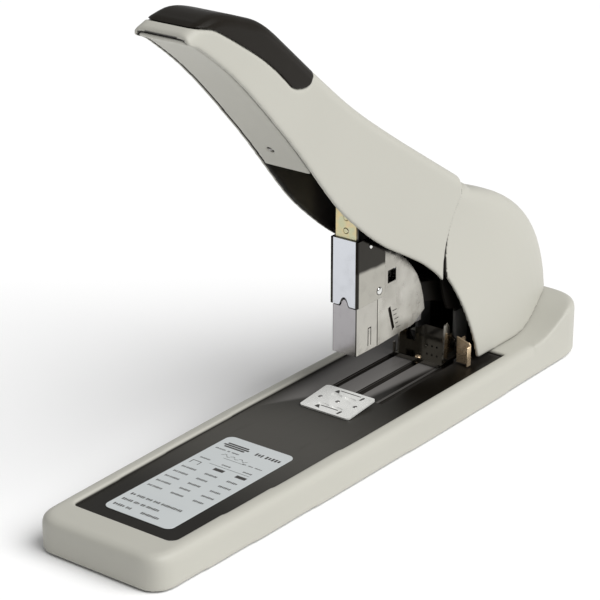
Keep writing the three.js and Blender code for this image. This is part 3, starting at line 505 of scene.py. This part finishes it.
# Painted shade on the housing: its hollow, and a dark painted line on its edge along the seam.
def in_cavity_or_seam(place, normal):
    """The housing's cavity, and the edge that it turns to the handle along their seam."""
    spoke = Vector((0, place.y - pivot_centre.y, place.z - pivot_centre.z))
    at_seam = abs(spoke.length - seam_radius) < seam_reach and spoke.y < 0
    facing = normal.dot(spoke.normalized()) > 0.45
    high = place.z > pivot_centre.z - seam_low
    return in_cavity(place, normal) or (at_seam and facing and high)


deck_low, deck_high = (Vector(corner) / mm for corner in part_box("deck_plate"))


# Painted shade in the well round the deck plate.
def round_deck(place, normal):
    """The well that the deck plate lies in, up to just above the plate."""
    beside = deck_low.x - well_gap < place.x < deck_high.x + well_gap
    along = deck_low.y - well_gap < place.y < deck_high.y + well_gap
    return beside and along and place.z < deck_high.z + well_rise


# A cover with no painted shade.
def nowhere(place, normal):
    """For a cover with nothing to darken."""
    return False


def moulded(node, grid, relax, shaded=nowhere):
    """A cover rebuilt on a grid, in millimetres, then smoothed a few times."""
    source = bpy.data.meshes.new("grid")
    copy = merged_copy(node)
    bmesh.ops.triangulate(copy, faces=copy.faces)
    copy.to_mesh(source)
    copy.free()
    blank = bpy.data.objects.new("grid", source)
    bpy.context.scene.collection.objects.link(blank)
    remesh = blank.modifiers.new("grid", "REMESH")
    remesh.mode = "VOXEL"
    remesh.voxel_size = grid * mm
    evaluated = blank.evaluated_get(bpy.context.evaluated_depsgraph_get())
    shape = bmesh.new()
    shape.from_mesh(evaluated.to_mesh())
    bpy.data.objects.remove(blank)
    for _ in range(relax):
        bmesh.ops.smooth_vert(
            shape, verts=shape.verts, factor=0.5, use_axis_x=True, use_axis_y=True, use_axis_z=True
        )
    slot = slot_of[node]
    made = piece(
        node + "_moulding",
        shape,
        finishes[slot],
        body_of[node],
        (node,),
        crease=moulding_crease,
    )
    darken_inside(made.data, shaded)
    print(made.name, len(made.data.polygons), "faces")
    return made


coarse = 1.0
moulded("base_cover", 1.1 * coarse, 3, round_deck)
moulded("rear_housing", 0.85 * coarse, 3, in_cavity_or_seam)
moulded("handle_cover", 0.85 * coarse, 4, in_cavity)
moulded("underside_cover", 0.8 * coarse, 3)
moulded("grip_pad", 0.55 * coarse, 4)

# %% [markdown]
# ## Sheet steel, bars and pins
# Shears and presses leave a small burr that is tumbled off. The broken edge is only a tenth or
# two wide, but it catches the light, and without it sheet metal looks like paper.

# %% Pressed parts
edge_of = {
    "bottom_plate": 0.3,
    "deck_plate": 0.35,
    "anvil_plate": 0.25,
    "anvil_block": 0.3,
    "chassis_floor": 0.3,
    "handle_pivot_pin": 0.4,
    "head_pivot_pin": 0.4,
    "handle_lever": 0.3,
    "front_cover": 0.28,
    "head_plate_left": 0.18,
    "head_plate_right": 0.18,
    "head_yoke": 0.25,
    "driver_holder": 0.2,
    "driver_blade": 0.15,
    "drive_pin": 0.4,
    "magazine_front": 0.28,
    "magazine_rail": 0.2,
    "staple_pusher": 0.3,
    "paper_stop": 0.2,
    "stop_guide_pin": 0.3,
    "lock_hub": 0.3,
    "stop_lock_lever": 0.25,
}
own_finish = {
    "anvil_plate": anvil_finish,
    "front_cover": cover_chrome,
    "magazine_front": magazine_chrome,
    "paper_stop": stop_chrome,
    "head_plate_left": head_plate,
    "head_plate_right": head_plate,
    "head_yoke": frame_paint,
}
for node, edge in edge_of.items():
    pressed(node, edge, own_finish.get(node))
for side in ("left", "right"):
    pressed("frame_cheek_" + side, 0.3, frame_paint)
    pressed("head_rivet_upper_" + side, 0.05)
    pressed("head_rivet_lower_" + side, 0.05)
for place in ("left", "middle", "right"):
    pressed("anvil_rivet_" + place, 0.25)
for level in ("upper", "lower"):
    pressed("driver_rivet_" + level, 0.3)
for end in ("front", "rear"):
    for side in ("left", "right"):
        pressed(f"foot_{end}_{side}", 0.5)
        pressed(f"base_screw_{end}_{side}", 0.15)

# %% [markdown]
# ## Springs
# A coil is a small circle spun round an axis while it moves along it. One spin does both at
# once: every small step of the turn also moves a little along the axis.

# %% Coil springs
wire_sides = 10
leg_sides = 12
wire_crease = 60


def coil(centre, axis, radius, wire, length, turns, steps=20):
    """A coil starting at centre and running along the axis."""
    shape = bmesh.new()
    axis = Vector(axis)
    aside = axis.orthogonal().normalized()
    across = Matrix.Translation(Vector(centre) + aside * radius)
    facing = axis.cross(aside).to_track_quat("Z", "Y").to_matrix().to_4x4()
    ring = bmesh.ops.create_circle(
        shape, segments=wire_sides, radius=wire / 2, cap_ends=False, matrix=across @ facing
    )
    edges = {edge for vert in ring["verts"] for edge in vert.link_edges}
    first = list(edges)
    spun = bmesh.ops.spin(
        shape,
        geom=ring["verts"] + first,
        cent=centre,
        axis=axis,
        dvec=axis * (length / (turns * steps)),
        angle=2 * pi * turns,
        steps=turns * steps,
        use_merge=False,
    )
    last = [item for item in spun["geom_last"] if isinstance(item, bmesh.types.BMEdge)]
    bmesh.ops.holes_fill(shape, edges=first)
    bmesh.ops.holes_fill(shape, edges=last)
    bmesh.ops.recalc_face_normals(shape, faces=shape.faces)
    return shape


def middle(node):
    low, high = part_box(node)
    return (Vector(low) + Vector(high)) / 2


def wire_piece(name, shape, body, node, crease=wire_crease):
    """A piece made of spring wire, in place of one CAD part."""
    piece(name, shape, finishes["spring_steel"], body, (node,), crease)


def spring_along_rail():
    low, high = (Vector(corner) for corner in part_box("pusher_spring"))
    wire = 0.5 * mm
    turns = 14
    radius = (high.z - low.z - wire) / 2
    start = Vector((0, low.y, (low.z + high.z) / 2))
    shape = coil(start, (0, 1, 0), radius, wire, high.y - low.y, turns)
    wire_piece("pusher_coil", shape, "magazine", "pusher_spring")


def spring_round_pivot():
    low, high = (Vector(corner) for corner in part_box("return_spring"))
    pivot = middle("handle_pivot_pin")
    wire = 2.2 * mm
    pitch = 1.08
    radius = high.z - pivot.z - wire / 2
    start = Vector((low.x + wire / 2, pivot.y, pivot.z))
    turns = int((high.x - low.x) / (wire * pitch))
    shape = coil(start, (1, 0, 0), radius, wire, high.x - low.x - wire, turns)
    leg = Matrix.Translation((0, pivot.y + radius, (pivot.z + low.z) / 2))
    bmesh.ops.create_cone(
        shape,
        segments=leg_sides,
        radius1=wire / 2,
        radius2=wire / 2,
        depth=pivot.z - low.z,
        cap_ends=True,
        matrix=leg,
    )
    wire_piece("return_coil", shape, "base", "return_spring")


spring_along_rail()
spring_round_pivot()

# %% [markdown]
# ## A stick of staples
# Staples come glued side by side. Each one is a flat crown with two legs, with a hair of a gap
# to the next, and that row of fine lines is what tells a stick from a solid bar.

# %% Staples
bar_crease = 30


def make_staples():
    low, high = (Vector(corner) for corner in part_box("staple_strip"))
    wire = 0.7 * mm
    pitch = wire * 1.06
    middle_height = (low.z + high.z) / 2
    leg_size = (wire, high.z - low.z)
    count = int((high.y - low.y) / pitch)
    shape = bmesh.new()
    for index in range(count):
        y = low.y + (index + 0.5) * pitch
        bars = [((0, high.z - wire / 2), (high.x - low.x, wire))]
        for side in (-1, 1):
            bars.append(((side * (high.x - wire / 2), middle_height), leg_size))
        for (x, z), (width, height) in bars:
            size = Matrix.Diagonal((width, wire, height, 1))
            bmesh.ops.create_cube(shape, size=1, matrix=Matrix.Translation((x, y, z)) @ size)
    wire_piece("staple_stick", shape, "magazine", "staple_strip", bar_crease)
    print("staples:", count)


make_staples()

# %% [markdown]
# ## The label and its printing
# The silver film on the deck carries a table that matches staple sizes to stack heights. Plain
# bars and outlines stand for the printing: the layout is kept and nothing can be read.

# %% Label
label_low, label_high = (Vector(corner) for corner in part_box("capacity_label"))
pressed("capacity_label", 0.08)
print_height = label_high.z + 0.02 * mm
label_width = label_high.x - label_low.x
label_length = label_high.y - label_low.y
ink_thickness = 0.03
stroke_share = 0.62
short_letter = 0.72


def mark(shape, across, along, width, height, turn=0.0):
    """A flat printed bar. across and along run from 0 to 1 over the label, sizes in mm."""
    place = Vector(
        (label_low.x + across * label_width, label_low.y + along * label_length, print_height)
    )
    size = Matrix.Diagonal((width * mm, height * mm, ink_thickness * mm, 1))
    bmesh.ops.create_cube(
        shape, size=1, matrix=Matrix.Translation(place) @ Matrix.Rotation(turn, 4, "Z") @ size
    )


def words(shape, left, along, lengths, height, space=1.1):
    """A line of print as bars of several lengths, each made of short strokes."""
    x = left * label_width / mm
    for length in lengths:
        strokes = max(1, round(length / (height * stroke_share)))
        step = length / strokes
        for stroke in range(strokes):
            centre = (x + (stroke + 0.5) * step) / (label_width / mm)
            full = (stroke * 7 + len(lengths)) % 3
            tall = height * (1.0 if full else short_letter)
            mark(shape, centre, along, step * stroke_share, tall)
        x += length + space


def staple_outline(shape, across, along, width, height):
    """A small drawing of a staple: a crown and two legs."""
    thick = 0.45
    mark(shape, across, along + height / 2 / (label_length / mm), width, thick)
    for side in (-1, 1):
        centre = across + side * (width - thick) / 2 / (label_width / mm)
        mark(shape, centre, along, thick, height)


def make_printing():
    shape = bmesh.new()
    # A heading block of plain bars, with two words beside it.
    for row, width in enumerate((13.0, 15.5, 12.5)):
        mark(shape, 0.27, 0.925 - row * 0.019, width, 1.2)
    words(shape, 0.56, 0.905, (5.0, 9.5), 2.9, 1.2)
    words(shape, 0.06, 0.845, (6.5, 1.6, 4.5), 1.1)
    words(shape, 0.60, 0.775, (2.5, 3, 4.5), 0.9)
    # A drawn flourish under the heading.
    for step in range(12):
        phase = step * 1.7
        turn = 0.7 * cos(phase)
        along = 0.80 + 0.010 * sin(phase)
        mark(shape, 0.26 + step * 0.032, along, 1.6, 0.3, turn)
    mark(shape, 0.48, 0.77, 13, 0.25)
    # Column heads: a staple, and two stacks of paper shown as dark lozenges.
    words(shape, 0.08, 0.71, (6.5,), 1.2)
    staple_outline(shape, 0.13, 0.645, 5.5, 3.4)
    words(shape, 0.42, 0.705, (5.5,), 1.1)
    words(shape, 0.74, 0.705, (5.5,), 1.1)
    mark(shape, 0.58, 0.68, 25, 0.25)
    for across in (0.49, 0.82):
        mark(shape, across, 0.645, 6.2, 2.5)
    # The table.
    for row in range(5):
        along = 0.575 - row * 0.066
        words(shape, 0.06, along, (2.6, 5.8), 1.6, 0.5)
        words(shape, 0.41, along, (7.6 - row % 2,), 1.6)
        words(shape, 0.74, along, (7.4 - (row + 1) % 2,), 1.6)
    # Three lines of advice along the front edge.
    words(shape, 0.06, 0.185, (3.0, 4.6, 3.6, 3.8, 12.5), 2.0, 1.0)
    words(shape, 0.06, 0.120, (6.4, 3.2, 2.6, 7.6), 2.0, 1.0)
    words(shape, 0.06, 0.055, (6.8, 3.2), 2.0, 1.0)
    words(shape, 0.47, 0.055, (11.0,), 2.0, 1.0)
    piece("label_printing", shape, ink_and_shade, "base", (), bar_crease)


make_printing()

# %% [markdown]
# ## The anvil's pockets
# Staple legs are folded by two pockets ground into the anvil. Each has a deep end, a slope that
# the leg slides along, and a far wall. Their shade is painted: thin dark films of ink lie on the
# tilted plate, whose plane is read from its largest upward face.

# %% Anvil pockets
def make_pockets():
    near = 0.31
    film = 0.03
    deep_end = [(-1.6, -0.9), (1.9, -1.5), (0.6, 0.4), (0.3, 1.5), (-0.9, 1.2)]
    far_wall = [(-0.9, -1.9), (0.1, -1.9), (0.9, 0.9), (0.2, 1.6), (-0.6, 0.8)]
    mesh = nodes["anvil_plate"].data
    upward = [face for face in mesh.polygons if face.normal.z > 0.9]
    top = max(upward, key=lambda face: face.area)
    low, high = (Vector(corner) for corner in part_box("anvil_plate"))
    normal = top.normal.copy()
    across = Vector((1, 0, 0))
    along = normal.cross(across)
    corner = Vector((low.x, low.y, 0))
    anchor = mesh.vertices[top.vertices[0]].co
    corner.z = anchor.z - normal.y / normal.z * (corner.y - anchor.y)
    plane = Matrix.Identity(3)
    plane.col[0], plane.col[1], plane.col[2] = across, along, normal
    plane = plane.to_4x4()
    shape = bmesh.new()

    def patch(u, v, outline):
        place = corner + across * (u * (high.x - low.x)) + along * (v * (high.y - low.y))
        corners = []
        for x, y in outline:
            flat = Vector((x, y, film)) * mm
            corners.append(shape.verts.new(place + plane.to_3x3() @ flat))
        shape.faces.new(corners)

    # Painted shade for each pocket: its deep end, the edge of its slope and its far wall.
    for v, reach in ((0.14, 0.75), (0.85, 0.81)):
        width = (reach - near) * (high.x - low.x) / mm
        slope_edge = [(0.9, 1.1), (width - 2.0, 1.0), (width - 2.0, 1.6), (0.9, 1.7)]
        patch(near, v, deep_end)
        patch(near, v, slope_edge)
        patch(reach, v, far_wall)
    thick = bmesh.ops.extrude_face_region(shape, geom=shape.faces[:])
    lifted = [item for item in thick["geom"] if isinstance(item, bmesh.types.BMVert)]
    bmesh.ops.translate(shape, verts=lifted, vec=normal * film * mm)
    bmesh.ops.recalc_face_normals(shape, faces=shape.faces)
    piece("anvil_pocket_shade", shape, ink_and_shade, "base", (), bar_crease)


make_pockets()

# %% [markdown]
# ## The staple gauge on the head
# Beside the sight slot five short marks show how many staples are left. They are stamped in
# black on the chrome, on the right side only.

# %% Gauge marks
def make_gauge():
    low, high = (Vector(corner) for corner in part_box("head_plate_right"))
    shape = bmesh.new()
    marks = 5
    first_along, step_along = 31.4, 0.9
    first_up, step_down = 15.2, 2.6
    long_mark, short_mark = 3.8, 2.6
    thick, tall = 0.04, 0.45
    for row in range(marks):
        y = low.y + (first_along + row * step_along) * mm
        z = low.z + (first_up - row * step_down) * mm
        length = (long_mark if row % 2 == 0 else short_mark) * mm
        size = Matrix.Diagonal((thick * mm, length, tall * mm, 1))
        place = Matrix.Translation((high.x + thick / 2 * mm, y + length / 2, z))
        bmesh.ops.create_cube(shape, size=1, matrix=place @ size)
    piece("gauge_marks", shape, ink_and_shade, "head", (), bar_crease)


make_gauge()

# %% [markdown]
# ## Screw under the handle
# One small screw holds the cover under the handle. Only the low dome of its head is modelled.

# %% Underside screw
def make_underside_screw():
    shape = bmesh.new()
    head_radius = 1.7
    flatness = 0.5
    tilt = 45
    hole = Vector((-3, -47, 169)) * mm
    lean = Matrix.Rotation(radians(tilt), 4, "X")
    place = Matrix.Translation(hole)
    bmesh.ops.create_uvsphere(
        shape,
        u_segments=20,
        v_segments=10,
        radius=head_radius * mm,
        matrix=place @ lean @ Matrix.Diagonal((1, 1, flatness, 1)),
    )
    piece("underside_screw_head", shape, finishes["grey_steel"], "handle", (), 40)


make_underside_screw()

# %% [markdown]
# ## The table and the light
# The stapler stands on a plain white table. A broad soft sun from above and to the right lights
# the top faces and the right-hand side. An even white sky gives the chrome something to reflect.

# %% Table
table_reach = 6.0
sun_strength = 3.2
sun_place = Vector((1.35, 0.25, 1.5))
sun_spread = 55
sky_strength = 0.34


def make_table():
    shape = bmesh.new()
    bmesh.ops.create_grid(shape, x_segments=2, y_segments=2, size=table_reach)
    mesh = bpy.data.meshes.new("table")
    shape.to_mesh(mesh)
    shape.free()
    finish = Finish("white_table", Specular_IOR_Level=0.1)
    tint = finish.blend(finish.noise(400, 1.0), (0.95, 0.95, 0.95), (0.96, 0.96, 0.96))
    mesh.materials.append(finish.paint(tint, 0.8))
    made = bpy.data.objects.new("table", mesh)
    bpy.context.scene.collection.objects.link(made)


def add_sun():
    """A sun at a place, aimed at the origin."""
    data = bpy.data.lights.new("sky_panel", "SUN")
    data.energy = sun_strength
    data.angle = radians(sun_spread)
    made = bpy.data.objects.new("sky_panel", data)
    made.location = sun_place
    made.rotation_euler = (-sun_place).to_track_quat("-Z", "Y").to_euler()
    bpy.context.scene.collection.objects.link(made)


make_table()
add_sun()

world = bpy.data.worlds.new("studio")
world.use_nodes = True
background = world.node_tree.nodes["Background"]
background.inputs["Color"].default_value = (1.0, 1.0, 1.0, 1.0)
background.inputs["Strength"].default_value = sky_strength
bpy.context.scene.world = world
bpy.context.scene.view_settings.view_transform = "Standard"

# %% [markdown]
# ## The camera
# A long lens looks down a little from the front and the right.

# %% Camera
focus = Vector((0, -0.0287, 0.0857))
azimuth = radians(37.48)
elevation = radians(22.05)
distance = 1.1165
outward = Vector((sin(azimuth) * cos(elevation), -cos(azimuth) * cos(elevation), sin(elevation)))
camera = bpy.data.objects.new("camera", bpy.data.cameras.new("camera"))
camera.data.lens = 135.5
camera.data.sensor_width = 36.0
camera.location = focus + outward * distance
camera.rotation_euler = outward.to_track_quat("Z", "Y").to_euler()
bpy.context.scene.collection.objects.link(camera)
bpy.context.scene.camera = camera
